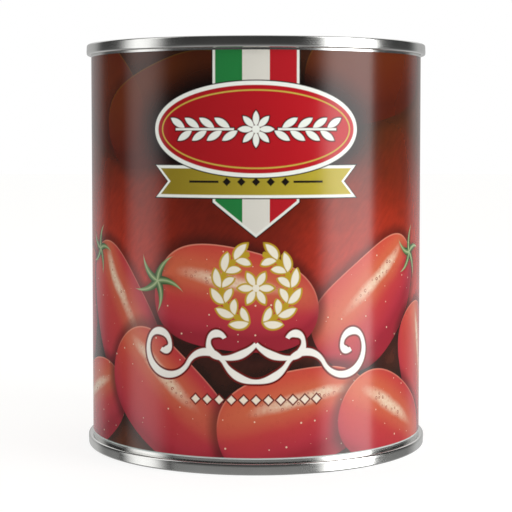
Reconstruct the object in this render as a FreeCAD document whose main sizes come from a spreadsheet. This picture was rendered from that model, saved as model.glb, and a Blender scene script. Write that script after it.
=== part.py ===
# Shut three-piece food tin, about 99 mm across and 120 mm tall, with a paper label.
# The origin is on the floor at the centre of the tin, +Z is up and -Y is the front of the label.
# Four pieces: the body with what it holds, two like ends seamed to it, and the label.
import FreeCAD, Part
import math
import os
import Sketcher

sizes = [
    # alias, millimetres, what it is
    ("canHeight", 120.0, "floor to the crown of the top seam"),
    ("bodyDiameter", 99.2, "outside of the tinplate body"),
    ("seamProud", 1.5, "how far a seam stands out from the body"),
    ("seamHeight", 3.2, "crown to hem of a double seam"),
    ("seamWidth", 1.35, "outside to inside of a double seam at its crown"),
    ("seamBulge", 0.1, "how far the ridge of the seam stands out from its crown"),
    ("ridgeDrop", 2.2, "crown to the ridge round the face of the seam"),
    ("crownRound", 0.55, "radius outside the crown"),
    ("lipRound", 0.4, "radius inside the crown"),
    ("hemRound", 0.6, "radius under the hem"),
    ("sinkDepth", 4.2, "crown to the floor of the countersink"),
    ("chuckLean", 0.7, "how far the chuck wall leans in on its way down"),
    ("sinkWidth", 1.5, "floor of the countersink"),
    ("sinkRound", 0.6, "radius in the corners of the countersink"),
    ("panelRise", 1.9, "floor of the countersink up to the panel"),
    ("panelLean", 0.5, "how far the wall up to the panel leans in"),
    ("panelRound", 0.7, "radius at the rim of the panel"),
    ("endSheet", 0.25, "metal under the floor of the countersink"),
    ("beadInset", 4.0, "rim of the panel to the first bead"),
    ("beadPitch", 6.5, "one bead to the next"),
    ("beadCrest", 1.2, "flat on top of a bead"),
    ("beadRise", 0.6, "height of a bead"),
    ("beadSlope", 0.9, "width of each side of a bead"),
    ("beadRound", 0.6, "radius along every edge of a bead"),
    ("labelSheet", 0.1, "paper of the label"),
    ("labelTopGap", 0.6, "hem of the top seam to the label"),
    ("labelFootGap", 1.0, "label to the hem of the bottom seam"),
    ("labelLap", 8.0, "width of the glued lap, measured round the tin"),
]
beadCount = 2  # raised rings on each end

doc = FreeCAD.newDocument("TomatoTin")

# --- driving sizes -------------------------------------------------------------------------------

sheet = doc.addObject("Spreadsheet::Sheet", "Sizes")
for row, (alias, value, note) in enumerate(sizes, start=1):
    sheet.set(f"A{row}", alias)
    sheet.set(f"B{row}", str(value))
    sheet.set(f"C{row}", note)
    sheet.setAlias(f"B{row}", alias)
doc.recompute()

# Radii and heights that more than one piece uses, as expressions on the sheet.
bodyRadius = "Sizes.bodyDiameter / 2"
footDepth = "(Sizes.sinkDepth + Sizes.endSheet)"
labelFoot = "Sizes.seamHeight + Sizes.labelFootGap"
labelTop = "Sizes.canHeight - Sizes.seamHeight - Sizes.labelTopGap"


# --- sketch and feature helpers ------------------------------------------------------------------

def originPlane(body, role):
    """One of the body's own origin planes, such as XZ_Plane."""
    return next(f for f in body.Origin.OriginFeatures if f.Role == role)


def profileSketch(body, name, role, corners):
    """A closed outline whose corners are (x, y) pairs of expressions, each held by two constraints."""
    sketch = body.newObject("Sketcher::SketchObject", name)
    sketch.AttachmentSupport = [(originPlane(body, role), "")]
    sketch.MapMode = "FlatFace"
    places = [FreeCAD.Vector(*(float(sketch.evalExpression(e)) for e in c), 0) for c in corners]
    count = len(corners)
    for i in range(count):
        sketch.addGeometry(Part.LineSegment(places[i], places[(i + 1) % count]), False)
    for i in range(count):
        sketch.addConstraint(Sketcher.Constraint("Coincident", i, 2, (i + 1) % count, 1))
    for i, corner in enumerate(corners):
        for kind, axis, expression, value in (
            ("DistanceX", -2, corner[0], places[i].x),
            ("DistanceY", -1, corner[1], places[i].y),
        ):
            if expression == "0":
                sketch.addConstraint(Sketcher.Constraint("PointOnObject", i, 1, axis))
                continue
            index = sketch.addConstraint(Sketcher.Constraint(kind, -1, 1, i, 1, value))
            constraint = f"corner{i}{kind[-1]}"
            sketch.renameConstraint(index, constraint)
            sketch.setExpression(f"Constraints.{constraint}", expression)
    return sketch


def revolve(body, name, sketch, angle="360"):
    """Turns a sketch about its vertical axis, half the angle to each side."""
    turned = body.newObject("PartDesign::Revolution", name)
    turned.Profile = sketch
    turned.ReferenceAxis = (sketch, ["V_Axis"])
    turned.Midplane = True
    turned.setExpression("Angle", angle)
    sketch.Visibility = False
    doc.recompute()
    return turned


def ringEdges(feature, corners):
    """Names of the full circles that the given sketch corners draw when they are turned."""
    wanted = [tuple(float(feature.evalExpression(e)) for e in c) for c in corners]
    names = []
    for index, edge in enumerate(feature.Shape.Edges, start=1):
        if not isinstance(edge.Curve, Part.Circle):
            continue
        radius, height = edge.Curve.Radius, edge.Curve.Center.z
        if any(math.hypot(radius - r, height - z) < 1e-4 for r, z in wanted):
            names.append(f"Edge{index}")
    if len(names) < len(wanted):
        raise RuntimeError(f"{feature.Name}: {len(wanted)} rounded edges wanted, {len(names)} found")
    return names


def roundRings(body, name, radius, corners):
    """Fillets the circles at the given corners of the body's last feature."""
    base = body.Tip
    fillet = body.newObject("PartDesign::Fillet", name)
    fillet.Base = (base, ringEdges(base, corners))
    fillet.setExpression("Radius", radius)
    doc.recompute()
    return fillet


# --- body and contents ---------------------------------------------------------------------------

def canBody(label):
    """The tinplate wall and all that it holds, as one solid between the feet of the two ends."""
    body = doc.addObject("PartDesign::Body", label)
    top = f"Sizes.canHeight - {footDepth}"
    outline = profileSketch(body, "BodyOutline", "XZ_Plane", [
        ("0", footDepth),
        (bodyRadius, footDepth),
        (bodyRadius, top),
        ("0", top),
    ])
    revolve(body, "BodyTurn", outline)
    return body


# --- end with its double seam --------------------------------------------------------------------

def canEnd(label):
    """One end with its seam and the edge of the wall folded into it, crown at z = 0 and foot hanging down.

    The bottom end is the same piece turned over.
    """
    body = doc.addObject("PartDesign::Body", label)
    ridge = f"{bodyRadius} + Sizes.seamProud"
    face = f"{ridge} - Sizes.seamBulge"
    inside = f"{face} - Sizes.seamWidth"
    chuckFoot = f"{inside} - Sizes.chuckLean"
    sinkEdge = f"{chuckFoot} - Sizes.sinkWidth"
    panelRim = f"{sinkEdge} - Sizes.panelLean"
    sinkFloor = "-Sizes.sinkDepth"
    panel = f"{sinkFloor} + Sizes.panelRise"
    crest = f"{panel} + Sizes.beadRise"
    hem = "-Sizes.seamHeight"

    crown = (face, "0")
    lip = (inside, "0")
    waist = (ridge, "-Sizes.ridgeDrop")
    hemEdge = (f"{ridge} - Sizes.seamBulge / 2", hem)
    sinkCorners = [(chuckFoot, sinkFloor), (sinkEdge, sinkFloor)]
    rim = (panelRim, panel)
    beads = []
    for ring in range(beadCount):
        outer = f"{panelRim} - Sizes.beadInset - {ring} * Sizes.beadPitch"
        beads += [
            (outer, panel),
            (f"{outer} - Sizes.beadSlope", crest),
            (f"{outer} - Sizes.beadSlope - Sizes.beadCrest", crest),
            (f"{outer} - 2 * Sizes.beadSlope - Sizes.beadCrest", panel),
        ]
    foot = [("0", f"-{footDepth}"), (bodyRadius, f"-{footDepth}"), (bodyRadius, hem)]
    outline = profileSketch(
        body, label + "Outline", "XZ_Plane",
        [crown, lip, *sinkCorners, rim, *beads, ("0", panel), *foot, hemEdge, waist],
    )
    revolve(body, label + "Turn", outline)
    roundRings(body, label + "Crown", "Sizes.crownRound", [crown])
    roundRings(body, label + "Lip", "Sizes.lipRound", [lip])
    roundRings(body, label + "Hem", "Sizes.hemRound", [hemEdge])
    roundRings(body, label + "Sink", "Sizes.sinkRound", sinkCorners)
    roundRings(body, label + "Rim", "Sizes.panelRound", [rim])
    roundRings(body, label + "Beads", "Sizes.beadRound", beads)
    return body


# --- paper label ---------------------------------------------------------------------------------

def paperLabel(label):
    """A sleeve of paper round the body, doubled at the back where its end is glued over its start."""
    body = doc.addObject("PartDesign::Body", label)
    outside = f"{bodyRadius} + Sizes.labelSheet"
    doubled = f"{bodyRadius} + 2 * Sizes.labelSheet"
    sleeve = profileSketch(body, "SleeveOutline", "YZ_Plane", [
        (bodyRadius, labelFoot),
        (outside, labelFoot),
        (outside, labelTop),
        (bodyRadius, labelTop),
    ])
    revolve(body, "SleeveTurn", sleeve)
    lap = profileSketch(body, "LapOutline", "YZ_Plane", [
        (outside, labelFoot),
        (doubled, labelFoot),
        (doubled, labelTop),
        (outside, labelTop),
    ])
    revolve(body, "LapTurn", lap, f"Sizes.labelLap / ({doubled}) * 180 / pi")
    return body


# --- the tin -------------------------------------------------------------------------------------

nodes = [canBody("can_body"), canEnd("top_end"), canEnd("base_end"), paperLabel("label")]
for node in nodes:
    node.Label = node.Name
topEnd, baseEnd = nodes[1], nodes[2]
topEnd.setExpression("Placement.Base.z", "Sizes.canHeight")
baseEnd.Placement = FreeCAD.Placement(FreeCAD.Vector(), FreeCAD.Rotation(FreeCAD.Vector(1, 0, 0), 180))
doc.recompute()

for item in doc.Objects:
    if {"Invalid", "Error"} & set(item.State):
        raise RuntimeError(f"{item.Name} did not build: {item.State}")
os.makedirs("parts", exist_ok=True)
for node in nodes:
    shape = node.Shape
    if shape.isNull() or not shape.isValid() or len(shape.Solids) != 1:
        raise RuntimeError(f"{node.Label} is not one sound solid")
    shape.exportStep(f"parts/{node.Label}.step")
    box = shape.optimalBoundingBox()
    print(f"{node.Label}: {shape.Volume:.0f} mm3, z {box.ZMin:.2f} to {box.ZMax:.2f}, {box.XLength:.2f} wide")
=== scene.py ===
import math
import bpy
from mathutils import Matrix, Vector


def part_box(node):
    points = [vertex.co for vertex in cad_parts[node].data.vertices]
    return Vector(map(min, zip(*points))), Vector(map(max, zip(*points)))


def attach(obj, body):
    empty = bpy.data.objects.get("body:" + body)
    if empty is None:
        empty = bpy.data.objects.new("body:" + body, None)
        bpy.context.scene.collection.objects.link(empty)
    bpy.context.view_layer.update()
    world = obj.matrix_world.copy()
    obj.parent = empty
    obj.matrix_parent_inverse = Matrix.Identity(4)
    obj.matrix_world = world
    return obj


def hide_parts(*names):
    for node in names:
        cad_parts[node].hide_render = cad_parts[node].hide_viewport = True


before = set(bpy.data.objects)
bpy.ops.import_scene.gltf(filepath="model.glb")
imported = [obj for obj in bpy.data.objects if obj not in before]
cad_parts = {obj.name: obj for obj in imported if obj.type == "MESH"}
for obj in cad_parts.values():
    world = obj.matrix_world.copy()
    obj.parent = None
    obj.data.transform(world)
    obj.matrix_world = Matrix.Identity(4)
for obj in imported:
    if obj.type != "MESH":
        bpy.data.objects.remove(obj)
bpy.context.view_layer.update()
mm = 0.001
print("frame loaded")


def toLinear(hexColour):  # sRGB hex to the values that sockets take
    channels = [int(hexColour[i:i + 2], 16) / 255 for i in (1, 3, 5)]
    return [*[c / 12.92 if c <= 0.04045 else ((c + 0.055) / 1.055) ** 2.4 for c in channels], 1.0]


def addNode(tree, kind, inputs=(), output=0, stops=(), **settings):
    kind, _, operation = kind.partition(".")  # as in Math.ADD
    node = tree.nodes.new(f"ShaderNode{kind}")
    if operation:
        node.operation = operation
    for name, value in settings.items():
        setattr(node, name, value)
    for key, value in inputs.items() if isinstance(inputs, dict) else enumerate(inputs):
        if isinstance(value, bpy.types.NodeSocket):
            tree.links.new(value, node.inputs[key])
        else:
            node.inputs[key].default_value = toLinear(value) if isinstance(value, str) else value
    for i, (place, colour) in enumerate(stops):
        spot = node.color_ramp.elements[i] if i < 2 else node.color_ramp.elements.new(place)
        spot.position, spot.color = place, toLinear(colour)
    return node.outputs[output]


colourMix = {"output": 2, "data_type": "RGBA"}
eased = {"interpolation_type": "SMOOTHSTEP"}
noiseSpan = (0.3, 0.7)  # most of a noise's values lie between these
sharpFrom = math.radians(40)  # a fold of more than this stays a sharp edge


def newGroup(name, inputs, outputs):
    tree = bpy.data.node_groups.new(name, "ShaderNodeTree")
    for label, kind in inputs.items():
        tree.interface.new_socket(label, in_out="INPUT", socket_type=f"NodeSocket{kind}")
    for label, kind in outputs.items():
        tree.interface.new_socket(label, in_out="OUTPUT", socket_type=f"NodeSocket{kind}")
    return tree, tree.nodes.new("NodeGroupInput").outputs, tree.nodes.new("NodeGroupOutput").inputs


def newMaterial(name):
    material = bpy.data.materials.new(name)
    material.use_nodes = True
    tree = material.node_tree
    return material, tree, tree.nodes["Principled BSDF"].inputs


# Camera: stands in front of the tin, a little under its top seam, and looks slightly down.
cameraPlace = {"distance": 453.8 * mm, "height": 93.5 * mm, "tiltDown": 3.13, "lens": 104.7, "shiftUp": -0.08}

camera = bpy.data.objects.new("camera", bpy.data.cameras.new("camera"))
bpy.context.collection.objects.link(camera)
camera.location = (0, -cameraPlace["distance"], cameraPlace["height"])
camera.rotation_euler = (math.radians(90 - cameraPlace["tiltDown"]), 0, 0)
camera.data.sensor_width = 36
camera.data.lens = cameraPlace["lens"]
camera.data.shift_y = cameraPlace["shiftUp"]
bpy.context.scene.camera = camera
bpy.context.scene.view_settings.view_transform = "Standard"
print("camera set")


# Studio: a white room behind the tin, a dark one in front of it, two soft boxes, two lamps that only light
# the sides, and a pale floor. The floor is kept out of the tin's mirror, so the room goes on below it there.
studio = {
    "backdropFrom": 0.55,  # how far round to the back the white starts, as the direction's y
    "backdropTo": 0.80,
    "compassFlat": 0.35,  # how much the direction's z counts in that
    "lowShare": 0.46,  # the white wall is dimmer near the floor than higher up
    "lowTo": 0.12,
    "highFrom": 0.42,
    "lookDown": -0.35,  # the direction's z at the first stop of the dark room; at the last one it is 1
    "darkRoom": [(0.0, "#999999"), (0.185, "#606060"), (0.244, "#585858"), (0.306, "#4A4A4A"),
                 (0.385, "#323232"), (0.80, "#383838"), (1.0, "#8A8A8A")],
    "fill": "#EAE8E4",
    "floorColour": "#D8D8D6",
    "floorRoughness": 0.8,
    "floorSize": 6.0,
    "floorGlow": 0.62,  # share of plain white in what the camera sees of the floor
    "floorWhite": 1.27,
    "boxDistance": 0.5,
    "boxDrop": 0.30,  # how far a soft box goes on below the floor, where only the tin's mirror shows it
    "boxFoot": 0.12,  # share of its height over which it comes up to full power
}
softBoxes = {
    # azimuth is from the camera's side, to the right; ramps are shares of the width, left and right
    "rightBox": {"azimuth": 60.5, "width": 0.425, "height": 0.72, "power": 3.5, "ramps": (0.34, 0.06)},
    "leftBox": {"azimuth": -78, "width": 0.42, "height": 0.72, "power": 1.4, "ramps": (0.42, 0.42)},
}
sideFills = {
    # large soft lamps that light the sides' colours and leave no mark in the gloss
    "rightFill": {"azimuth": 50, "power": 1.3},
    "leftFill": {"azimuth": -80, "power": 1.9},
}
fillLamp = {"size": 0.5, "distance": 0.8, "height": 0.3}


def buildWorld():
    world = bpy.data.worlds.new("whiteRoom")
    bpy.context.scene.world = world
    world.use_nodes = True
    tree = world.node_tree
    way = addNode(tree, "TexCoord")
    flat = addNode(tree, "VectorMath.MULTIPLY", [way, (1, 1, studio["compassFlat"])])
    compass = addNode(tree, "VectorMath.NORMALIZE", [flat])
    toBack = addNode(tree, "VectorMath.DOT_PRODUCT", [compass, (0, 1, 0)], 1)
    share = addNode(tree, "MapRange", [toBack, studio["backdropFrom"], studio["backdropTo"], 0, 1], **eased)
    up = addNode(tree, "SeparateXYZ", [way], 2)
    high = addNode(tree, "MapRange", [up, studio["lowTo"], studio["highFrom"], studio["lowShare"], 1])
    share = addNode(tree, "Math.MULTIPLY", [share, high])
    level = addNode(tree, "MapRange", [up, studio["lookDown"], 1, 0, 1])
    front = addNode(tree, "ValToRGB", [level], stops=studio["darkRoom"])
    room = addNode(tree, "Mix", {0: share, 6: front, 7: "#FFFFFF"}, **colourMix)
    ray = addNode(tree, "LightPath")
    glossy = ray.node.outputs["Is Glossy Ray"]
    seen = addNode(tree, "Mix", {0: glossy, 6: studio["fill"], 7: room}, **colourMix)
    white = addNode(tree, "Mix", {0: ray, 6: seen, 7: "#FFFFFF"}, **colourMix)
    tree.links.new(white, tree.nodes["Background"].inputs["Color"])


def buildFloor():
    half = studio["floorSize"] / 2
    mesh = bpy.data.meshes.new("floor")
    corners = [(-half, -half, 0), (half, -half, 0), (half, half, 0), (-half, half, 0)]
    mesh.from_pydata(corners, [], [(0, 1, 2, 3)])
    floor = bpy.data.objects.new("floor", mesh)
    bpy.context.collection.objects.link(floor)
    # matt laminate: pale and even, and near the tin it only shows the soft shadow
    material, tree, inputs = newMaterial("floorLaminate")
    inputs["Base Color"].default_value = toLinear(studio["floorColour"])
    inputs["Roughness"].default_value = studio["floorRoughness"]
    floor.visible_glossy = False
    ray = addNode(tree, "LightPath")
    glow = addNode(tree, "Emission", {"Color": "#FFFFFF", "Strength": studio["floorWhite"]})
    share = addNode(tree, "Math.MULTIPLY", [ray, studio["floorGlow"]])
    seen = addNode(tree, "MixShader", [share, tree.nodes["Principled BSDF"].outputs[0], glow])
    tree.links.new(seen, tree.nodes["Material Output"].inputs["Surface"])
    mesh.materials.append(material)


def buildSoftBox(name, box):
    width, height, foot = box["width"] / 2, box["height"], -studio["boxDrop"]
    mesh = bpy.data.meshes.new(name)
    corners = [(-width, 0, foot), (width, 0, foot), (width, 0, height), (-width, 0, height)]
    mesh.from_pydata(corners, [], [(0, 1, 2, 3)])
    uv = mesh.uv_layers.new(name="face").uv
    for corner, place in zip(uv, [(0, 0), (1, 0), (1, 1), (0, 1)]):
        corner.vector = place
    piece = bpy.data.objects.new(name, mesh)
    bpy.context.collection.objects.link(piece)
    turn = math.radians(box["azimuth"])
    piece.location = (math.sin(turn) * studio["boxDistance"], -math.cos(turn) * studio["boxDistance"], 0)
    piece.rotation_euler = (0, 0, turn)
    piece.visible_camera = False
    # a lamp behind white diffusion cloth, which fades towards the sides
    material, tree, _ = newMaterial(name + "Cloth")
    place = addNode(tree, "SeparateXYZ", [addNode(tree, "UVMap", uv_map="face")])
    left, right = box["ramps"]
    fadeIn = addNode(tree, "MapRange", [place, 0, left, 0, 1], **eased)
    fadeOut = addNode(tree, "MapRange", [place, 1, 1 - right, 0, 1], **eased)
    fadeDown = addNode(tree, "MapRange", [place.node.outputs[1], 0, studio["boxFoot"], 0, 1])
    both = addNode(tree, "Math.MULTIPLY", [fadeIn, fadeOut])
    both = addNode(tree, "Math.MULTIPLY", [both, fadeDown])
    power = addNode(tree, "Math.MULTIPLY", [both, box["power"]])
    glow = addNode(tree, "Emission", {"Color": "#FFFFFF", "Strength": power})
    tree.links.new(glow, tree.nodes["Material Output"].inputs["Surface"])
    mesh.materials.append(material)


def buildSideFill(name, lamp):
    light = bpy.data.lights.new(name, "AREA")
    light.size = fillLamp["size"]
    light.energy = lamp["power"]
    piece = bpy.data.objects.new(name, light)
    bpy.context.collection.objects.link(piece)
    turn = math.radians(lamp["azimuth"])
    away = fillLamp["distance"]
    piece.location = (math.sin(turn) * away, -math.cos(turn) * away, fillLamp["height"])
    piece.rotation_euler = (math.pi / 2, 0, turn)
    piece.visible_camera = False
    piece.visible_glossy = False


buildWorld()
buildFloor()
for name, box in softBoxes.items():
    buildSoftBox(name, box)
for name, lamp in sideFills.items():
    buildSideFill(name, lamp)
print("studio built")


# Tin: steel strip with a bright tin coat. It is rolled, so it has faint straight lines, and the seams are
# rolled once more when they are shut, so they have lines round the tin.
tinSheet = {
    "colour": "#E4E4E1",
    "dull": "#CFCFCC",
    "roughness": (0.10, 0.24),
    "rollingLine": 0.35,  # mm across one line; real ones are finer, this is as fine as shows
    "lineLength": 30.0,
    "seamLine": 0.25,  # mm across one line round a seam, also as fine as shows
    "spangle": 9.0,  # mm across a cloudy patch of the coat
    "cloudShare": 0.6,  # how far the cloudy patches and the lines set the roughness
    "lineShare": 0.4,
    "relief": 0.002,  # mm
    "reliefStrength": 0.5,
    "seamFrom": 48.4,  # mm from the axis, where the seam's own lines begin, and over how far
    "seamBlend": 0.8,
}


def buildTinplate():
    material, tree, inputs = newMaterial("tinplateRolled")
    place = addNode(tree, "TexCoord", output=3)
    inMm = addNode(tree, "VectorMath.SCALE", {0: place, "Scale": 1 / mm})
    z = addNode(tree, "SeparateXYZ", [inMm], 2)
    flat = addNode(tree, "VectorMath.MULTIPLY", [inMm, (1, 1, 0)])
    radius = addNode(tree, "VectorMath.LENGTH", [flat], 1)
    line, length, seamLine = tinSheet["rollingLine"], tinSheet["lineLength"], tinSheet["seamLine"]
    stretched = addNode(tree, "VectorMath.MULTIPLY", [inMm, (1 / length, 1 / line, 1 / length)])
    rolled = addNode(tree, "TexNoise", {"Vector": stretched, "Scale": 1.0, "Detail": 2.0})
    across = addNode(tree, "CombineXYZ", [radius, z])
    turned = addNode(tree, "VectorMath.SCALE", {0: across, "Scale": 1 / seamLine})
    lathed = addNode(tree, "TexNoise", {"Vector": turned, "Scale": 1.0, "Detail": 1.0})
    seamFrom = tinSheet["seamFrom"]
    onSeam = addNode(tree, "MapRange", [radius, seamFrom, seamFrom + tinSheet["seamBlend"], 0, 1])
    lines = addNode(tree, "Mix", {0: onSeam, 2: rolled, 3: lathed})
    cloudy = addNode(tree, "TexNoise", {"Vector": inMm, "Scale": 1 / tinSheet["spangle"], "Detail": 3.0})
    shade = addNode(tree, "Mix", {0: cloudy, 6: tinSheet["colour"], 7: tinSheet["dull"]}, **colourMix)
    tree.links.new(shade, inputs["Base Color"])
    lined = addNode(tree, "Math.MULTIPLY", [lines, tinSheet["lineShare"]])
    wear = addNode(tree, "Math.MULTIPLY_ADD", [cloudy, tinSheet["cloudShare"], lined])
    tree.links.new(addNode(tree, "MapRange", [wear, *noiseSpan, *tinSheet["roughness"]]), inputs["Roughness"])
    inputs["Metallic"].default_value = 1.0
    bump = addNode(tree, "Bump", {"Strength": tinSheet["reliefStrength"], "Distance": tinSheet["relief"] * mm,
                                  "Height": lines})
    tree.links.new(bump, inputs["Normal"])
    return material


tinplate = buildTinplate()
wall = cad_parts["can_body"]
wall.data.materials.clear()
wall.data.materials.append(tinplate)
print("tinplate finished")


# Ends: pressed from sheet and rolled over the wall's edge, turned finely so that the seams mirror cleanly.
# All in mm; the seam's height, the ridge and the countersink are measured down from the crown.
endShape = {
    "seamWidth": 1.35,
    "seamHeight": 3.2,
    "bulge": 0.1,  # how far the ridge of the seam stands out from its crown
    "ridgeDrop": 2.2,
    "crownRound": 0.55,
    "lipRound": 0.4,
    "hemRound": 0.6,
    "sinkDepth": 4.2,
    "sinkWidth": 1.5,
    "sinkRound": 0.6,
    "chuckLean": 0.7,
    "panelRise": 1.9,
    "panelLean": 0.5,
    "panelRound": 0.7,
    "beads": 2,
    "beadInset": 4.0,
    "beadPitch": 6.5,
    "beadCrest": 1.2,
    "beadRise": 0.6,
    "beadSlope": 0.9,
    "beadRound": 0.6,
    "aroundSteps": 384,
    "arcStep": 10.0,  # degrees
}


def endCorners(ridge, wallRadius, foot):  # section from the axis outwards: radius, height, rounding
    shape = endShape
    face = ridge - shape["bulge"]
    inside = face - shape["seamWidth"]
    chuckFoot = inside - shape["chuckLean"]
    sinkEdge = chuckFoot - shape["sinkWidth"]
    rim = sinkEdge - shape["panelLean"]
    panel = shape["panelRise"] - shape["sinkDepth"]
    hem = -shape["seamHeight"]
    beads = []
    for ring in range(shape["beads"]):
        outer = rim - shape["beadInset"] - ring * shape["beadPitch"]
        inner = outer - 2 * shape["beadSlope"] - shape["beadCrest"]
        crest = panel + shape["beadRise"]
        beads += [(outer, panel), (outer - shape["beadSlope"], crest), (inner + shape["beadSlope"], crest),
                  (inner, panel)]
    return [
        (0, panel, 0), *[(*corner, shape["beadRound"]) for corner in reversed(beads)],
        (rim, panel, shape["panelRound"]), (sinkEdge, -shape["sinkDepth"], shape["sinkRound"]),
        (chuckFoot, -shape["sinkDepth"], shape["sinkRound"]), (inside, 0, shape["lipRound"]),
        (face, 0, shape["crownRound"]), (ridge, -shape["ridgeDrop"], 0),
        (ridge - shape["bulge"] / 2, hem, shape["hemRound"]), (wallRadius, hem, 0), (wallRadius, -foot, 0),
        (0, -foot, 0)]


def roundedSection(corners):
    points = []
    for k, (x, z, rounding) in enumerate(corners):
        here = Vector((x, z))
        if not rounding:
            points.append(here)
            continue
        back = (Vector(corners[k - 1][:2]) - here).normalized()
        ahead = (Vector(corners[k + 1][:2]) - here).normalized()
        half = back.angle(ahead) / 2
        centre = here + (back + ahead).normalized() * rounding / math.sin(half)
        first, last = (here + way * rounding / math.tan(half) - centre for way in (back, ahead))
        start = math.atan2(first.y, first.x)
        sweep = (math.atan2(last.y, last.x) - start + math.pi) % (2 * math.pi) - math.pi
        steps = math.ceil(abs(sweep) / math.radians(endShape["arcStep"]))
        for i in range(steps + 1):
            angle = start + sweep * i / steps
            points.append(centre + rounding * Vector((math.cos(angle), math.sin(angle))))
    return points


def buildEnd(name, node, crown, up):  # up is 1 for the top end and -1 for the same piece turned over
    low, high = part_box(node)
    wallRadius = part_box("can_body")[1][0] / mm
    section = roundedSection(endCorners(high[0] / mm, wallRadius, (high[2] - low[2]) / mm))
    around = endShape["aroundSteps"]
    vertices = [(0, 0, (crown + up * section[0].y) * mm), (0, 0, (crown + up * section[-1].y) * mm)]
    for point in section[1:-1]:
        for i in range(around):
            turn = 2 * math.pi * i / around
            vertices.append((point.x * math.sin(turn) * mm, -point.x * math.cos(turn) * mm,
                             (crown + up * point.y) * mm))
    steps = [(b - a).length for a, b in zip(section, section[1:])]
    lengths = [sum(steps[:k]) / sum(steps) for k in range(len(section))]
    rings = len(section) - 2
    faces, maps = [], []
    for k in range(-1, rings):
        for i in range(around):
            here, ahead = (k, i), (k, (i + 1) % around)
            above, aboveAhead = (k + 1, i), (k + 1, (i + 1) % around)
            corners = [(here, i), (ahead, i + 1), (aboveAhead, i + 1), (above, i)]
            if k == -1:
                corners = [(here, i + 0.5), *corners[2:]]
            if k == rings - 1:
                corners = [corners[0], corners[1], (above, i + 0.5)]
            corners = corners if up > 0 else corners[::-1]
            faces.append([0 if ring < 0 else 1 if ring == rings else 2 + ring * around + spot
                          for (ring, spot), along in corners])
            maps.append([(along / around, lengths[ring + 1]) for (ring, spot), along in corners])
    mesh = bpy.data.meshes.new(name)
    mesh.from_pydata(vertices, [], faces)
    flat = mesh.uv_layers.new(name="OFBake").uv
    for corner, spot in enumerate(spot for face in maps for spot in face):
        flat[corner].vector = spot
    mesh.shade_smooth()
    mesh.set_sharp_from_angle(angle=sharpFrom)
    mesh.materials.append(tinplate)
    piece = bpy.data.objects.new(name, mesh)
    bpy.context.collection.objects.link(piece)
    piece.modifiers.new("evenNormals", "WEIGHTED_NORMAL").keep_sharp = True
    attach(piece, "root")
    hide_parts(node)


buildEnd("topEnd", "top_end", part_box("top_end")[1][2] / mm, 1)
buildEnd("baseEnd", "base_end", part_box("base_end")[0][2] / mm, -1)
print("ends seamed")


# Label: one sheet of paper round the tin, glued where its outer end lies on its inner end, at the back.
paperLabel = {
    "thick": 0.1,  # mm
    "lap": 8.0,
    "rise": 1.6,  # how soon the sheet climbs onto its inner end
    "columns": 420,
    "rows": 14,
    "frontColumns": 216,  # these lie in one piece on the second map, the back in two beside each other
    "mapGap": 0.008,
    "mapAcross": 0.90,
    "mapUp": 0.48,
    "mapInside": 0.034,
    "mapEdges": {"foot": 0.963, "top": 0.974, "start": 0.985, "end": 0.996},
    "mapEdgeWidth": 0.006,
}
labelLow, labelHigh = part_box("label")
labelFoot, labelTop = labelLow[2] / mm, labelHigh[2] / mm
labelTall = labelTop - labelFoot
paperRadius = labelHigh[0] / mm  # outer face
innerRadius = paperRadius - paperLabel["thick"]
girth = 2 * math.pi * paperRadius
sheetLength = girth + paperLabel["lap"]


def sheetRing(inside, alongs):
    lapTurn = paperLabel["lap"] / 2 / paperRadius
    riseTurn = paperLabel["rise"] / paperRadius
    places = []
    for along in alongs:
        turn = along / paperRadius  # 0 at the front
        climb = min(max((turn - (math.pi - lapTurn - riseTurn)) / riseTurn, 0), 1)
        radius = innerRadius + paperLabel["thick"] * (climb * climb * (3 - 2 * climb) + (0 if inside else 1))
        places.append((math.sin(turn) * radius * mm, -math.cos(turn) * radius * mm))
    return places


def mapSpot(side, column, i, j):  # place on the second map of corner i, j of a face in the given column
    columns, rows, gap = paperLabel["columns"], paperLabel["rows"], paperLabel["mapGap"]
    across, up = paperLabel["mapAcross"], paperLabel["mapUp"]
    back = (columns - paperLabel["frontColumns"]) // 2
    if side == "outside":
        if back <= column < columns - back:
            return gap + (i - back) / (columns - 2 * back) * across, 0.5 + j / rows * up
        start = 0 if column < back else columns - back
        left = gap if column < back else gap + (across + gap) / 2
        return left + (i - start) / back * (across - gap) / 2, gap + j / rows * up
    if side == "inside":
        return across + 2 * gap + i / columns * paperLabel["mapInside"], gap + j / rows * (1 - 2 * gap)
    return paperLabel["mapEdges"][side] - j * paperLabel["mapEdgeWidth"], gap + i * (1 - 2 * gap)


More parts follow.
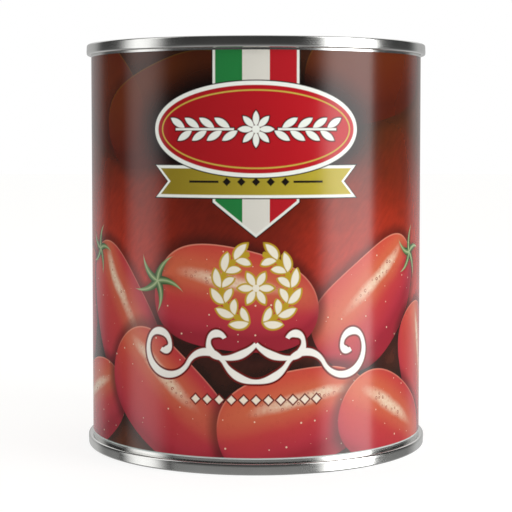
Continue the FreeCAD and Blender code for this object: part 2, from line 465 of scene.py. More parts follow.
def buildLabel():
    columns, rows = paperLabel["columns"], paperLabel["rows"]
    alongs = [sheetLength * (i / columns - 0.5) for i in range(columns + 1)]
    heights = [labelFoot + labelTall * j / rows for j in range(rows + 1)]
    outer, inner = sheetRing(False, alongs), sheetRing(True, alongs)
    vertices = [(x, y, h * mm) for h in heights for x, y in outer + inner]
    ring = 2 * (columns + 1)
    faces, prints, maps = [], [], []

    def addFace(corners, side, column, spots, turned):
        order = slice(None, None, -1) if turned else slice(None)
        faces.append([j * ring + i + (columns + 1) * under for i, j, under in corners][order])
        prints.append([(i / columns, j / rows) for i, j, under in corners][order])
        maps.append([mapSpot(side, column, *spot) for spot in spots][order])

    for j in range(rows):
        for i in range(columns):
            spots = [(i, j), (i + 1, j), (i + 1, j + 1), (i, j + 1)]
            addFace([(*spot, 0) for spot in spots], "outside", i, spots, False)
            addFace([(*spot, 1) for spot in spots], "inside", i, spots, True)
    for i in range(columns):
        spots = [(i / columns, 0), ((i + 1) / columns, 0), ((i + 1) / columns, 1), (i / columns, 1)]
        for j, side in ((0, "foot"), (rows, "top")):
            addFace([(i, j, 0), (i + 1, j, 0), (i + 1, j, 1), (i, j, 1)], side, i, spots, side == "foot")
    for j in range(rows):
        spots = [(j / rows, 0), (j / rows, 1), ((j + 1) / rows, 1), ((j + 1) / rows, 0)]
        for i, side in ((0, "start"), (columns, "end")):
            addFace([(i, j, 0), (i, j, 1), (i, j + 1, 1), (i, j + 1, 0)], side, i, spots, side == "start")
    mesh = bpy.data.meshes.new("labelSheet")
    mesh.from_pydata(vertices, [], faces)
    for name, spots in (("sheet", prints), ("OFBake", maps)):
        flat = mesh.uv_layers.new(name=name).uv
        for corner, spot in enumerate(spot for face in spots for spot in face):
            flat[corner].vector = spot
    mesh.shade_smooth()
    mesh.set_sharp_from_angle(angle=sharpFrom)
    piece = bpy.data.objects.new("labelSheet", mesh)
    bpy.context.collection.objects.link(piece)
    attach(piece, "root")
    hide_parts("label")
    return piece


label = buildLabel()
print("label wrapped")


# Print: every length is in mm on the flat sheet, across from the middle of the front and up from the foot.
printRun = {
    "edge": 0.14,  # half the width over which one ink gives way to the next
    "period": girth / 2,
    "mottle": 16.0,  # across a cloud in the inks, and how far it ripples a tomato's skin
    "ripple": 0.22,
    "wander": 0.035,  # share of the label's height by which the ground's bands wander
    "grain": 1.1,  # across a fleck, which leans, and its width as a share of its length
    "grainLean": 40.0,
    "grainStretch": 0.3,
    "grainShare": 0.22,
    "keyline": ("#140A06", 0.3),
    "bareFoot": 0.35,
    "paper": "#C8D4D2",
    "roughness": 0.18,
    "fibre": 1.4,  # how many clumps of fibre to a mm, as coarse as shows
    "fibreRelief": 0.02,
    "fibreStrength": 0.35,
}
farOff = 50.0  # what a distance starts from where nothing is drawn yet
diagonal = math.sqrt(0.5)
ground = {
    # share of the label's height and colour: brown black at the top, red in the middle, brown at the foot
    "stops": [(0.0, "#5A2C14"), (0.15, "#4E2818"), (0.28, "#5C2820"), (0.35, "#C23C34"), (0.40, "#BE362C"),
              (0.487, "#B4301C"), (0.56, "#A62C14"), (0.64, "#8E260C"), (0.73, "#6A2208"), (0.81, "#522408"),
              (0.90, "#4C240A"), (1.0, "#4A220C")],
    "fleck": "#200C04",
    "middle": -6.0,  # across to where the ground is darkest, and how far from there it stays and ends so
    "darkFrom": 10.0,
    "darkTo": 30.0,
    "dark": 0.52,
}
tomatoes = [
    # across and up, turn in degrees, half length and half width, bend
    {"at": (-74, 36), "turn": 70, "half": (21, 13.0), "bend": 0.10},
    {"at": (37, 42), "turn": 38, "half": (23, 13.8), "bend": -0.08},
    {"at": (-46, 38), "turn": 122, "half": (22, 13.5), "bend": 0.08},
    {"at": (-6, 44), "turn": -9, "half": (24, 14.2), "bend": 0.06},
    {"at": (64, 19), "turn": -70, "half": (22, 13.0), "bend": 0.05},
    {"at": (-64, 9), "turn": 24, "half": (23, 13.2), "bend": 0.08},
    {"at": (-27, 15), "turn": -40, "half": (23, 14.0), "bend": -0.06},
    {"at": (12, 11), "turn": 14, "half": (23.5, 13.8), "bend": 0.08},
    {"at": (45, 6), "turn": -28, "half": (22, 13.4), "bend": 0.05},
]
dimTomatoes = [
    {"at": (-58, 104), "turn": -32, "half": (27, 15), "bend": 0.05},
    {"at": (-27, 96), "turn": 24, "half": (24, 13), "bend": -0.08},
    {"at": (38, 107), "turn": 8, "half": (25, 14), "bend": 0.10},
]
tomatoSkin = {
    "stops": [(0.0, "#982232"), (0.25, "#AE2E3C"), (0.55, "#BA383A"), (0.80, "#C24438"), (1.0, "#CA533C")],
    "blunt": 0.32,  # how much squarer than an oval the ends are, how much one is wider, how flat it is
    "taper": 0.10,
    "flat": 0.5,
    "light": (-0.28, 0.62, 0.62),
    "shine": (0.16, 0.36),  # how far off the middle the shine sits, lengthways and across
    "shineTurn": 2.5,
    "warm": "#D07C50",
    "warmReach": (3.6, 0.4),
    "warmShare": 0.48,
    "streak": (0.50, 0.15),  # half length and half width of the shine, as shares of the tomato's
    "streakReach": (1.25, 0.15),
    "wet": "#E8D6BC",
    "bead": "#962E24",
    "beadShare": (0.85, 0.12),  # more of the beads show in the shine, and some elsewhere
    "edge": 0.985,
    "rim": "#DE9A80",
    "rimFrom": 0.955,
    "rimFacing": (0.20, 0.95),
    "rimShare": 0.60,
    "behind": "#1C0C06",
    "behindReach": 1.28,
    "behindShare": 0.60,
    "dim": "#95AA2A",  # multiplies the skin of the dim ones
    "dimStrength": 0.6,
}
# water: pitch in mm, share of the places that stay dry, then radius and softness as shares of the pitch
drops = {"pitch": 1.5, "dry": 0.35, "largest": 0.42, "soft": 0.08, "strength": 0.85, "spot": 0.45,
         "spotSoft": 0.06}
glints = {"pitch": 4.2, "dry": 0.45, "largest": 0.08, "soft": 0.03, "strength": 0.8}
wetFilm = {"patches": 1.1, "share": (0.60, 0.95)}  # patches to a mm
calyces = [
    {"at": (-29, 48.5), "turn": 158, "size": 8.5},
    {"at": (55, 55), "turn": 38, "size": 8.0},
    {"at": (-57, 56), "turn": 100, "size": 7.5},
]
calyxLook = {
    "sepals": 5,
    "greens": [(0.0, "#A9B98E"), (0.4, "#6E8C58"), (1.0, "#35502A")],
    "swirl": 0.55,
    "width": 0.20,  # at the middle; all shares of the calyx's size
    "edge": 0.015,
    "ridge": 0.10,
    "shadow": "#3A0A0A",
    "shadowReach": (0.3, 1.15),
    "shadowShare": 0.6,
    "shadowWidth": 0.3,
}


def inked(tree, under, field, colour, grow=0.0):  # ink where the field is under grow, in mm
    edge = printRun["edge"]
    cover = addNode(tree, "MapRange", [field, grow + edge, grow - edge, 0, 1])
    return addNode(tree, "Mix", {0: cover, 6: under, 7: colour}, **colourMix)


def placedOn(tree, given):
    offset = addNode(tree, "VectorMath.SUBTRACT", [given["Sheet"], given["Place"]])
    half = printRun["period"] / 2
    near = addNode(tree, "VectorMath.WRAP", [offset, (half, 500, 1), (-half, -500, -1)])
    return addNode(tree, "VectorRotate", {"Vector": near, "Angle": given["Turn"]}, rotation_type="Z_AXIS",
                   invert=True)


def shineAt(turn):  # on the upper side, however the tomato is turned
    turn = math.radians(turn)
    along, across = tomatoSkin["shine"]
    return along * math.sin(turn), across * min(max(tomatoSkin["shineTurn"] * math.cos(turn), -1), 1), 0


def buildTomatoGroup():
    tree, given, result = newGroup(
        "printedTomato",
        {"Sheet": "Vector", "Under": "Color", "Place": "Vector", "Turn": "Float", "Half": "Vector",
         "Bend": "Float", "Ripple": "Vector", "Window": "Vector", "Wet": "Float", "Beads": "Float",
         "Glints": "Float", "Tint": "Color", "Shine": "Float", "Strength": "Float"},
        {"Ink": "Color"})
    skin = tomatoSkin
    unit = addNode(tree, "VectorMath.DIVIDE", [placedOn(tree, given), given["Half"]])
    x = addNode(tree, "SeparateXYZ", [unit])
    xx = addNode(tree, "Math.MULTIPLY", [x, x])
    bluntness = addNode(tree, "Math.MULTIPLY_ADD", [xx, skin["blunt"], 1 - skin["blunt"]])
    blunt = addNode(tree, "Math.MULTIPLY", [x, bluntness])
    bent = addNode(tree, "Math.MULTIPLY_ADD", [xx, given["Bend"], x.node.outputs[1]])
    taper = addNode(tree, "Math.MULTIPLY_ADD", [x, skin["taper"], 1.0])
    wide = addNode(tree, "Math.MULTIPLY", [bent, taper])
    reach = addNode(tree, "VectorMath.LENGTH", [addNode(tree, "CombineXYZ", [blunt, wide])], 1)
    rest = addNode(tree, "Math.MULTIPLY", [reach, reach])
    rest = addNode(tree, "Math.SUBTRACT", [1.0, rest])
    height = addNode(tree, "Math.SQRT", [rest])
    lengthways = addNode(tree, "Math.MULTIPLY", [blunt, skin["flat"]])
    lump = addNode(tree, "CombineXYZ", [lengthways, wide, height])
    facing = addNode(tree, "VectorMath.NORMALIZE", [lump])
    facing = addNode(tree, "VectorRotate", {"Vector": facing, "Angle": given["Turn"]}, rotation_type="Z_AXIS")
    facing = addNode(tree, "VectorMath.ADD", [facing, given["Ripple"]])
    # skin: crimson on the far side, orange red where the light falls
    lit = addNode(tree, "VectorMath.DOT_PRODUCT", [facing, skin["light"]], 1)
    ink = addNode(tree, "ValToRGB", [lit], stops=skin["stops"])
    # wet shine: a soft warm patch with a pale streak in it, full of beads of water
    spot = addNode(tree, "VectorMath.SUBTRACT", [lump, given["Window"]])
    spot = addNode(tree, "VectorMath.ADD", [spot, given["Ripple"]])
    length, width = skin["streak"]
    spot = addNode(tree, "VectorMath.MULTIPLY", [spot, (2 / length, 1 / width, 0)])
    far = addNode(tree, "VectorMath.LENGTH", [spot], 1)
    warm = addNode(tree, "MapRange", [far, *skin["warmReach"], 0, skin["warmShare"]], **eased)
    warm = addNode(tree, "Math.MULTIPLY", [warm, given["Shine"]])
    ink = addNode(tree, "Mix", {0: warm, 6: ink, 7: skin["warm"]}, **colourMix)
    streak = addNode(tree, "MapRange", [far, *skin["streakReach"], 0, 1], **eased)
    wet = addNode(tree, "Math.MULTIPLY", [streak, given["Wet"]])
    wet = addNode(tree, "Math.MULTIPLY", [wet, given["Shine"]])
    ink = addNode(tree, "Mix", {0: wet, 6: ink, 7: skin["wet"]}, **colourMix)
    beaded = addNode(tree, "Math.MULTIPLY_ADD", [streak, *skin["beadShare"]])
    beaded = addNode(tree, "Math.MULTIPLY", [beaded, given["Beads"]])
    ink = addNode(tree, "Mix", {0: beaded, 6: ink, 7: skin["bead"]}, **colourMix)
    ink = addNode(tree, "Mix", {0: given["Glints"], 6: ink, 7: skin["wet"]}, **colourMix)
    # thin light line along the upper rim
    ring = addNode(tree, "MapRange", [reach, skin["rimFrom"], skin["edge"], 0, 1], **eased)
    upward = addNode(tree, "VectorMath.DOT_PRODUCT", [facing, (0, 1, 0)], 1)
    upward = addNode(tree, "MapRange", [upward, *skin["rimFacing"], 0, skin["rimShare"]])
    rim = addNode(tree, "Math.MULTIPLY", [ring, upward])
    ink = addNode(tree, "Mix", {0: rim, 6: ink, 7: skin["rim"]}, **colourMix)
    ink = addNode(tree, "Mix", {0: 1.0, 6: ink, 7: given["Tint"]}, **colourMix, blend_type="MULTIPLY")
    # shadow on what lies behind, then the tomato over it
    dark = addNode(tree, "MapRange", [reach, 1.0, skin["behindReach"], skin["behindShare"], 0], **eased)
    dark = addNode(tree, "Math.MULTIPLY", [dark, given["Strength"]])
    under = addNode(tree, "Mix", {0: dark, 6: given["Under"], 7: skin["behind"]}, **colourMix)
    inside = addNode(tree, "MapRange", [reach, 1.0, skin["edge"], 0, 1], **eased)
    cover = addNode(tree, "Math.MULTIPLY", [inside, given["Strength"]])
    tree.links.new(addNode(tree, "Mix", {0: cover, 6: under, 7: ink}, **colourMix), result["Ink"])
    return tree


def buildCalyxGroup():
    tree, given, result = newGroup(
        "printedCalyx",
        {"Sheet": "Vector", "Under": "Color", "Place": "Vector", "Turn": "Float", "Size": "Float"},
        {"Ink": "Color"})
    look = calyxLook
    turned = placedOn(tree, given)
    away = addNode(tree, "VectorMath.LENGTH", [turned], 1)
    reach = addNode(tree, "Math.DIVIDE", [away, given["Size"]])
    x = addNode(tree, "SeparateXYZ", [turned])
    angle = addNode(tree, "Math.ARCTAN2", [x.node.outputs[1], x])
    swirl = addNode(tree, "Math.MULTIPLY_ADD", [reach, look["swirl"], angle])
    sepal = addNode(tree, "Math.PINGPONG", [swirl, math.pi / look["sepals"]])
    across = addNode(tree, "Math.MULTIPLY", [sepal, reach])
    width = addNode(tree, "MapRange", [reach, 0, 1, look["width"], 0.0], clamp=False)
    inside = addNode(tree, "Math.SUBTRACT", [width, across])
    inside = addNode(tree, "MapRange", [inside, -look["edge"], look["edge"], 0, 1])
    ridge = addNode(tree, "MapRange", [across, 0.0, look["ridge"], 0, 1])
    green = addNode(tree, "ValToRGB", [ridge], stops=look["greens"])
    shade = addNode(tree, "MapRange", [reach, *look["shadowReach"], look["shadowShare"], 0], **eased)
    thin = addNode(tree, "MapRange", [across, 0.0, look["shadowWidth"], 1, 0])
    shade = addNode(tree, "Math.MULTIPLY", [shade, thin])
    under = addNode(tree, "Mix", {0: shade, 6: given["Under"], 7: look["shadow"]}, **colourMix)
    tree.links.new(addNode(tree, "Mix", {0: inside, 6: under, 7: green}, **colourMix), result["Ink"])
    return tree


def buildStrokeGroup():  # one arc of a pen line, thin at its ends; keeps the nearer of it and the arcs before
    tree, given, result = newGroup(
        "penArc",
        {"Point": "Vector", "Centre": "Vector", "Radius": "Float", "Middle": "Float", "Span": "Float",
         "Thin": "Float", "Thick": "Float", "Before": "Float"},
        {"Field": "Float"})
    offset = addNode(tree, "VectorMath.SUBTRACT", [given["Point"], given["Centre"]])
    away = addNode(tree, "VectorMath.LENGTH", [offset], 1)
    miss = addNode(tree, "Math.SUBTRACT", [away, given["Radius"]])
    miss = addNode(tree, "Math.ABSOLUTE", [miss])
    x = addNode(tree, "SeparateXYZ", [offset])
    angle = addNode(tree, "Math.ARCTAN2", [x.node.outputs[1], x])
    angle = addNode(tree, "Math.SUBTRACT", [angle, given["Middle"]])
    angle = addNode(tree, "Math.WRAP", [angle, math.pi, -math.pi])
    share = addNode(tree, "Math.DIVIDE", [angle, given["Span"]])
    share = addNode(tree, "Math.ABSOLUTE", [share])
    bow = addNode(tree, "MapRange", [share, 0, 1, given["Thick"], given["Thin"]], **eased)
    field = addNode(tree, "Math.SUBTRACT", [miss, bow])
    beyond = addNode(tree, "Math.GREATER_THAN", [share, 1.0])
    field = addNode(tree, "Math.MULTIPLY_ADD", [beyond, farOff, field])
    field = addNode(tree, "Math.MINIMUM", [field, given["Before"]])
    tree.links.new(field, result["Field"])
    return tree


def ovalField(tree, point, centre, half):
    offset = addNode(tree, "VectorMath.SUBTRACT", [point, (*centre, 0)])
    once = addNode(tree, "VectorMath.MULTIPLY", [offset, (1 / half[0], 1 / half[1], 0)])
    twice = addNode(tree, "VectorMath.MULTIPLY", [once, (1 / half[0], 1 / half[1], 0)])
    reach = addNode(tree, "VectorMath.LENGTH", [once], 1)
    slope = addNode(tree, "VectorMath.LENGTH", [twice], 1)
    past = addNode(tree, "Math.SUBTRACT", [reach, 1.0])
    past = addNode(tree, "Math.MULTIPLY", [past, reach])
    return addNode(tree, "Math.DIVIDE", [past, slope])


def boxField(tree, point, centre, half, corner=0.0):
    offset = addNode(tree, "VectorMath.SUBTRACT", [point, (*centre, 0)])
    mirrored = addNode(tree, "VectorMath.ABSOLUTE", [offset])
    past = addNode(tree, "VectorMath.SUBTRACT", [mirrored, (half[0] - corner, half[1] - corner, 0)])
    flat = addNode(tree, "VectorMath.MULTIPLY", [past, (1, 1, 0)])
    outside = addNode(tree, "VectorMath.MAXIMUM", [flat, (0, 0, 0)])
    away = addNode(tree, "VectorMath.LENGTH", [outside], 1)
    x = addNode(tree, "SeparateXYZ", [past])
    inside = addNode(tree, "Math.MAXIMUM", [x, x.node.outputs[1]])
    inside = addNode(tree, "Math.MINIMUM", [inside, 0.0])
    field = addNode(tree, "Math.ADD", [away, inside])
    return addNode(tree, "Math.SUBTRACT", [field, corner])


def leafField(tree, point, centre, turn, half):  # pointed leaf, between two arcs, that lies along its turn
    offset = addNode(tree, "VectorMath.SUBTRACT", [point, (*centre, 0)])
    lying = addNode(tree, "VectorRotate", {"Vector": offset, "Angle": math.radians(turn)},
                    rotation_type="Z_AXIS", invert=True)
    mirrored = addNode(tree, "VectorMath.ABSOLUTE", [lying])
    radius = (half[0] ** 2 + half[1] ** 2) / (2 * half[1])
    sunk = addNode(tree, "VectorMath.ADD", [mirrored, (0, radius - half[1], 0)])
    away = addNode(tree, "VectorMath.LENGTH", [sunk], 1)
    return addNode(tree, "Math.SUBTRACT", [away, radius])


def nearest(tree, *fields):
    field = fields[0]
    for other in fields[1:]:
        field = addNode(tree, "Math.MINIMUM", [field, other])
    return field


def repeated(tree, along, across, pitch, first, last):  # folds a row of like motifs onto one of them
    count = addNode(tree, "Math.DIVIDE", [along, pitch])
    count = addNode(tree, "Math.ROUND", [count])
    count = addNode(tree, "Clamp", [count, first, last])
    local = addNode(tree, "Math.MULTIPLY_ADD", [count, -pitch, along])
    return addNode(tree, "CombineXYZ", [local, across])


def sprigField(tree, along, across, sprig):  # stem along the middle with a leaf to each side by turns
    leaves = []
    for side, shift in ((1, 0.0), (-1, sprig["stagger"])):
        moved = addNode(tree, "Math.SUBTRACT", [along, shift])
        spot = repeated(tree, moved, across, sprig["pitch"], *sprig["run"])
        leaves.append(leafField(tree, spot, (0, side * sprig["out"]), side * sprig["lean"], sprig["leaf"]))
    return nearest(tree, *leaves)


def rosetteField(tree, point, centre, petals, out, half):
    offset = addNode(tree, "VectorMath.SUBTRACT", [point, (*centre, 0)])
    x = addNode(tree, "SeparateXYZ", [offset])
    away = addNode(tree, "VectorMath.LENGTH", [offset], 1)
    angle = addNode(tree, "Math.ARCTAN2", [x.node.outputs[1], x])
    local = addNode(tree, "Math.WRAP", [angle, math.pi / petals, -math.pi / petals])
    outward = addNode(tree, "Math.MULTIPLY", [away, addNode(tree, "Math.COSINE", [local])])
    aside = addNode(tree, "Math.MULTIPLY", [away, addNode(tree, "Math.SINE", [local])])
    petal = leafField(tree, addNode(tree, "CombineXYZ", [outward, aside]), (out, 0), 0, half)
    eye = addNode(tree, "Math.SUBTRACT", [away, out - half[0] + 0.3])  # 0.3 mm of overlap
    return nearest(tree, petal, eye)


def penLine(start, heading, strokes):  # arcs that run on from each other: radius and turn in degrees
    x, y = start
    way = math.radians(heading)
    for radius, turn in strokes:
        side, turn = math.copysign(1, turn), math.radians(turn)
        centre = (x - math.sin(way) * radius * side, y + math.cos(way) * radius * side)
        first = math.atan2(y - centre[1], x - centre[0])
        yield centre, radius, first + turn / 2, abs(turn) / 2
        x = centre[0] + radius * math.cos(first + turn)
        y = centre[1] + radius * math.sin(first + turn)
        way += turn


ribbon = {"half": 11.2, "point": 62.0, "slope": 0.8, "stripes": ("#1F7A3C", "#D8D6CE", "#B01420"),
          "stripeEdge": 0.1, "border": "#E4E6E0", "outline": 0.7}
badge = {"at": (0, 90.5), "half": (28.5, 12.0), "red": ("#A00C16", "#BE1220"), "outline": 1.1,
         "white": "#EEF2EC", "goldLine": "#C9B24A", "goldInset": 1.4, "goldHalf": 0.2, "shadow": (9.5, 0.97),
         "stem": ((5.1, 0), (8.4, 0.3)), "markLine": "#4A060A", "markOutline": 0.35,
         "sprig": {"start": 9.3, "pitch": 4.3, "run": (0, 3), "stagger": -2.15, "out": 1.75, "lean": 32,
                   "leaf": (2.5, 0.95)},
         "rosette": {"petals": 8, "out": 2.9, "half": (2.1, 0.85)}}
banner = {"at": (0, 76.2), "half": (24.5, 3.6), "gold": ("#8C7A1C", "#B8A832"), "outline": 0.8,
          "pitch": 4.0, "count": 2, "size": 1.15, "dark": "#17110A", "notch": 0.9,
          "rules": ((14.5, 0), (4.2, 0.3))}
wreath = {"at": (0, 47.2), "radius": 9.5, "stem": ((2.2, 0), (12.6, 0.28)), "cream": "#ECE6D6",
          "gold": "#B99A22", "outline": 0.5,
          "sprig": {"pitch": 4.35, "run": (-2, 3), "stagger": 0.0, "out": 1.55, "lean": 33,
                    "leaf": (2.4, 1.0)},
          "rosette": {"petals": 6, "out": 2.8, "half": (2.1, 0.95)}}
flourish = {"white": "#F2F0EA", "maroon": "#6A0E0C", "outline": 0.55, "thick": 1.05, "thin": 0.6,
            "lines": [((0, 21.5), 0, [(10, 60), (6, -122), (7, 176), (3.6, 150), (1.9, 130)]),
                      ((0, 31.9), -48, [(12, 50), (4, 100), (2.4, 140)])]}
diamonds = {"at": (0, 16.4), "pitch": 3.4, "count": 5, "size": 1.2, "cream": "#F0E2D0", "outline": 0.4}
panel = {"at": (108, 57.0), "half": (19.0, 41.0), "corner": 3.0, "cream": "#E6DCC4", "gold": "#A88C2A",
         "border": (0.9, 1.9), "outline": 0.6, "rule": "#7A2A20", "rulePitch": 5.0, "rules": 6,
         "ruleHalf": (14.5, 0.25)}


def foldedAt(tree, point, middle=(0, 0)):  # across, aside and up from a middle; aside has no left or right
    offset = addNode(tree, "VectorMath.SUBTRACT", [point, (*middle, 0)])
    x = addNode(tree, "SeparateXYZ", [offset])
    return x, addNode(tree, "Math.ABSOLUTE", [x]), x.node.outputs[1]


def framed(tree, ink, field, outline, colour):  # a border with a thin dark line round it
    dark, width = printRun["keyline"]
    ink = inked(tree, ink, field, dark, outline + width)
    return inked(tree, ink, field, colour, outline)


def graded(tree, ink, field, x, half, colours):  # fills a shape from one colour at its left to the other
    share = addNode(tree, "MapRange", [x, -half, half, 0, 1])
    fill = addNode(tree, "Mix", {0: share, 6: colours[0], 7: colours[1]}, **colourMix)
    return inked(tree, ink, field, fill)


def printRibbon(tree, ink, point):
    x, aside, y = foldedAt(tree, point)
    toSide = addNode(tree, "Math.SUBTRACT", [aside, ribbon["half"]])
    tip = addNode(tree, "Math.MULTIPLY_ADD", [aside, ribbon["slope"], ribbon["point"]])
    toTip = addNode(tree, "Math.SUBTRACT", [tip, y])
    toTip = addNode(tree, "Math.MULTIPLY", [toTip, 1 / math.hypot(1, ribbon["slope"])])
    field = addNode(tree, "Math.MAXIMUM", [toSide, toTip])
    ink = framed(tree, ink, field, ribbon["outline"], ribbon["border"])
    third, edge = ribbon["half"] / 3, ribbon["stripeEdge"]
    stripe, *others = ribbon["stripes"]
    for side, colour in zip((-third, third), others):
        share = addNode(tree, "MapRange", [x, side - edge, side + edge, 0, 1])
        stripe = addNode(tree, "Mix", {0: share, 6: stripe, 7: colour}, **colourMix)
    return inked(tree, ink, field, stripe)


def diamondField(tree, x, y, row):
    spot = repeated(tree, x, y, row["pitch"], -row["count"], row["count"])
    folded = addNode(tree, "VectorMath.ABSOLUTE", [spot])
    across = addNode(tree, "VectorMath.DOT_PRODUCT", [folded, (diagonal, diagonal, 0)], 1)
    return addNode(tree, "Math.SUBTRACT", [across, diagonal * row["size"]])


def printBanner(tree, ink, point):
    x, aside, y = foldedAt(tree, point, banner["at"])
    above = addNode(tree, "Math.ABSOLUTE", [y])
    toEdge = addNode(tree, "Math.SUBTRACT", [above, banner["half"][1]])
    notch = addNode(tree, "Math.MULTIPLY_ADD", [above, banner["notch"], banner["half"][0]])
    toEnd = addNode(tree, "Math.SUBTRACT", [aside, notch])
    field = addNode(tree, "Math.MAXIMUM", [toEdge, toEnd])
    ink = framed(tree, ink, field, banner["outline"], badge["white"])
    ink = graded(tree, ink, field, x, banner["half"][0], banner["gold"])
    rules = boxField(tree, addNode(tree, "CombineXYZ", [aside, y]), *banner["rules"])
    marks = nearest(tree, diamondField(tree, x, y, banner), rules)
    return inked(tree, ink, marks, banner["dark"])


def printBadgeShadow(tree, ink, field):
    reach, strength = badge["shadow"]
    shadow = addNode(tree, "MapRange", [field, 0, reach, strength, 0], **eased)
    return addNode(tree, "Mix", {0: shadow, 6: ink, 7: "#000000"}, **colourMix)


def printBadge(tree, ink, point, field):
    ink = framed(tree, ink, field, badge["outline"], badge["white"])
    x, aside, y = foldedAt(tree, point, badge["at"])
    ink = graded(tree, ink, field, x, badge["half"][0], badge["red"])
    line = addNode(tree, "Math.ADD", [field, badge["goldInset"]])
    line = addNode(tree, "Math.ABSOLUTE", [line])
    ink = inked(tree, ink, line, badge["goldLine"], badge["goldHalf"])
    along = addNode(tree, "Math.SUBTRACT", [aside, badge["sprig"]["start"]])
    leaves = sprigField(tree, along, y, badge["sprig"])
    stem = boxField(tree, addNode(tree, "CombineXYZ", [along, y]), *badge["stem"])
    flower = rosetteField(tree, point, badge["at"], **badge["rosette"])
    marks = nearest(tree, leaves, stem, flower)
    ink = inked(tree, ink, marks, badge["markLine"], badge["markOutline"])
    return inked(tree, ink, marks, badge["white"])


def printWreath(tree, ink, point):
    _, aside, y = foldedAt(tree, point, wreath["at"])
    angle = addNode(tree, "Math.ARCTAN2", [y, aside])
    along = addNode(tree, "Math.MULTIPLY", [angle, wreath["radius"]])
    along = addNode(tree, "Math.ADD", [along, wreath["sprig"]["pitch"] / 2])
    away = addNode(tree, "VectorMath.LENGTH", [addNode(tree, "CombineXYZ", [aside, y])], 1)
    out = addNode(tree, "Math.SUBTRACT", [wreath["radius"], away])
    leaves = sprigField(tree, along, out, wreath["sprig"])
    stem = boxField(tree, addNode(tree, "CombineXYZ", [along, out]), *wreath["stem"])
    flower = rosetteField(tree, point, wreath["at"], **wreath["rosette"])
    ink = inked(tree, ink, nearest(tree, leaves, stem, flower), wreath["gold"], wreath["outline"])
    return inked(tree, ink, nearest(tree, leaves, flower), wreath["cream"])


def printFlourish(tree, ink, point):
    stroke = buildStrokeGroup()
    _, aside, y = foldedAt(tree, point)
    folded = addNode(tree, "CombineXYZ", [aside, y])
    field = farOff
    for start, heading, strokes in flourish["lines"]:
        for centre, radius, middle, span in penLine(start, heading, strokes):
            field = addNode(tree, "Group", {
                "Point": folded, "Centre": (*centre, 0), "Radius": radius, "Middle": middle, "Span": span,
                "Thin": flourish["thin"], "Thick": flourish["thick"], "Before": field}, node_tree=stroke)
    ink = inked(tree, ink, field, flourish["maroon"], flourish["outline"])
    return inked(tree, ink, field, flourish["white"])


def printDiamonds(tree, ink, point):
    x = addNode(tree, "SeparateXYZ", [point])
    y = addNode(tree, "Math.SUBTRACT", [x.node.outputs[1], diamonds["at"][1]])
    field = diamondField(tree, x, y, diamonds)
    ink = inked(tree, ink, field, flourish["maroon"], diamonds["outline"])
    return inked(tree, ink, field, diamonds["cream"])


def printPanels(tree, ink, point):  # plain panels at both sides of the back, with empty rules
    _, aside, y = foldedAt(tree, point)
    folded = addNode(tree, "CombineXYZ", [aside, y])
    field = boxField(tree, folded, panel["at"], panel["half"], panel["corner"])
    ink = inked(tree, ink, field, panel["gold"], panel["outline"])
    ink = inked(tree, ink, field, panel["cream"])
    inner, outer = (addNode(tree, "Math.ADD", [field, w]) for w in panel["border"])
    outer = addNode(tree, "Math.MULTIPLY", [outer, -1.0])
    ink = inked(tree, ink, addNode(tree, "Math.MAXIMUM", [inner, outer]), panel["gold"])
    offset = addNode(tree, "VectorMath.SUBTRACT", [folded, (*panel["at"], 0)])
    across = addNode(tree, "SeparateXYZ", [offset])
    spot = repeated(tree, across.node.outputs[1], across, panel["rulePitch"], -panel["rules"], panel["rules"])
    width, thin = panel["ruleHalf"]
    return inked(tree, ink, boxField(tree, spot, (0, 0), (thin, width)), panel["rule"])


def scattered(tree, point, look):  # place in its cell, size of the drop there, and how far inside the drop
    cell = addNode(tree, "TexVoronoi", {"Vector": point, "Scale": 1 / look["pitch"]}, voronoi_dimensions="2D")
    chance = addNode(tree, "SeparateXYZ", [cell.node.outputs["Color"]])
    size = addNode(tree, "MapRange", [chance, look["dry"], 1, 0.0, look["largest"]])
    inside = addNode(tree, "Math.SUBTRACT", [size, cell])
    return cell, size, addNode(tree, "MapRange", [inside, 0, look["soft"], 0, look["strength"]])


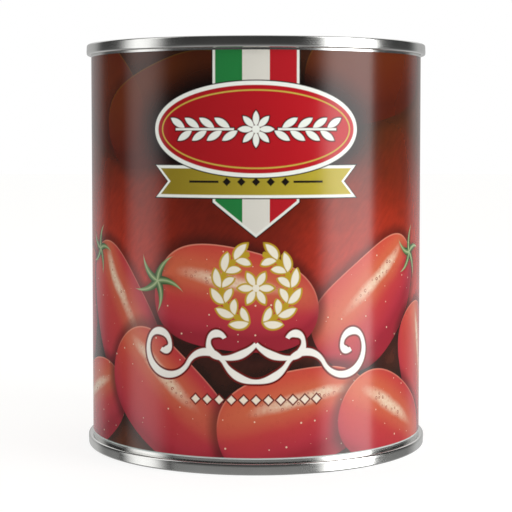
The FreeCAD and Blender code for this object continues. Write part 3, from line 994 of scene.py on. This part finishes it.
def buildPrint():
    # semi-gloss label paper, printed in ink and varnished: even gloss over the colours
    material, tree, inputs = newMaterial("labelPaperVarnished")
    run = printRun
    flat = addNode(tree, "UVMap", uv_map="sheet")
    centred = addNode(tree, "VectorMath.SUBTRACT", [flat, (0.5, 0, 0)])
    point = addNode(tree, "VectorMath.MULTIPLY", [centred, (sheetLength, labelTall, 0)])
    x = addNode(tree, "SeparateXYZ", [point])
    height = x.node.outputs[1]
    mottle = addNode(tree, "TexNoise", {"Vector": point, "Scale": 1 / run["mottle"], "Detail": 3.0})
    clouds = mottle.node.outputs["Color"]
    rippled = addNode(tree, "VectorMath.SUBTRACT", [clouds, (0.5, 0.5, 0.5)])
    rippled = addNode(tree, "VectorMath.SCALE", {0: rippled, "Scale": run["ripple"]})
    leaning = addNode(tree, "VectorRotate", {"Vector": point, "Angle": math.radians(run["grainLean"])},
                      rotation_type="Z_AXIS")
    fine = 1 / run["grain"]
    streaked = addNode(tree, "VectorMath.MULTIPLY", [leaning, (fine, fine * run["grainStretch"], 0)])
    grain = addNode(tree, "TexNoise", {"Vector": streaked, "Scale": 1.0, "Detail": 2.0})
    share = addNode(tree, "Math.MULTIPLY", [height, 1 / labelTall])
    wander = addNode(tree, "MapRange", [mottle, *noiseSpan, -run["wander"], run["wander"]])
    share = addNode(tree, "Math.ADD", [share, wander])
    ink = addNode(tree, "ValToRGB", [share], stops=ground["stops"])
    flecks = addNode(tree, "MapRange", [grain, *noiseSpan, 0.0, run["grainShare"]])
    ink = addNode(tree, "Mix", {0: flecks, 6: ink, 7: ground["fleck"]}, **colourMix)

    # water on the tomatoes: round drops of all sizes, each with a light spot, and single glints further out
    cell, size, inside = scattered(tree, point, drops)
    spot = addNode(tree, "Math.MULTIPLY", [cell, -1.0])
    spot = addNode(tree, "Math.MULTIPLY_ADD", [size, drops["spot"], spot])
    spot = addNode(tree, "MapRange", [spot, 0, drops["spotSoft"], 0, 1])
    spot = addNode(tree, "Math.SUBTRACT", [1.0, spot])
    beads = addNode(tree, "Math.MULTIPLY", [inside, spot])
    sparks = scattered(tree, point, glints)[2]
    wet = addNode(tree, "TexNoise", {"Vector": point, "Scale": wetFilm["patches"], "Detail": 2.0})
    wet = addNode(tree, "MapRange", [wet, *noiseSpan, *wetFilm["share"]])

    tomato = buildTomatoGroup()

    def printTomato(one, **look):
        return addNode(tree, "Group", {
            "Sheet": point, "Ripple": rippled, "Under": ink, "Place": (*one["at"], 0),
            "Turn": math.radians(one["turn"]), "Half": (*one["half"], 1), "Bend": one["bend"],
            "Window": shineAt(one["turn"]), **look}, node_tree=tomato)

    for one in dimTomatoes:
        ink = printTomato(one, Tint=tomatoSkin["dim"], Strength=tomatoSkin["dimStrength"])
    aside = addNode(tree, "Math.SUBTRACT", [x, ground["middle"]])
    aside = addNode(tree, "Math.ABSOLUTE", [aside])
    fade = ground["darkFrom"], ground["darkTo"], ground["dark"], 0
    dark = addNode(tree, "MapRange", [aside, *fade], **eased)
    ink = addNode(tree, "Mix", {0: dark, 6: ink, 7: "#000000"}, **colourMix)
    for one in tomatoes:
        ink = printTomato(one, Wet=wet, Beads=beads, Glints=sparks, Tint="#FFFFFF", Shine=1.0, Strength=1.0)
    calyx = buildCalyxGroup()
    for one in calyces:
        ink = addNode(tree, "Group", {
            "Sheet": point, "Under": ink, "Place": (*one["at"], 0), "Turn": math.radians(one["turn"]),
            "Size": one["size"]}, node_tree=calyx)

    ink = printPanels(tree, ink, point)
    badgeField = ovalField(tree, point, badge["at"], badge["half"])
    ink = printBadgeShadow(tree, ink, badgeField)
    ink = printRibbon(tree, ink, point)
    ink = printBanner(tree, ink, point)
    ink = printBadge(tree, ink, point, badgeField)
    ink = printWreath(tree, ink, point)
    ink = printFlourish(tree, ink, point)
    ink = printDiamonds(tree, ink, point)
    # bare paper along the foot
    foot = addNode(tree, "Math.SUBTRACT", [height, run["bareFoot"]])
    tree.links.new(inked(tree, ink, foot, run["paper"]), inputs["Base Color"])
    inputs["Roughness"].default_value = run["roughness"]
    inputs["IOR"].default_value = 1.5
    fibre = addNode(tree, "TexNoise", {"Vector": point, "Scale": run["fibre"], "Detail": 3.0})
    bump = addNode(tree, "Bump", {"Strength": run["fibreStrength"], "Distance": run["fibreRelief"] * mm,
                                  "Height": fibre})
    tree.links.new(bump, inputs["Normal"])
    return material


label.data.materials.append(buildPrint())
print("label printed")
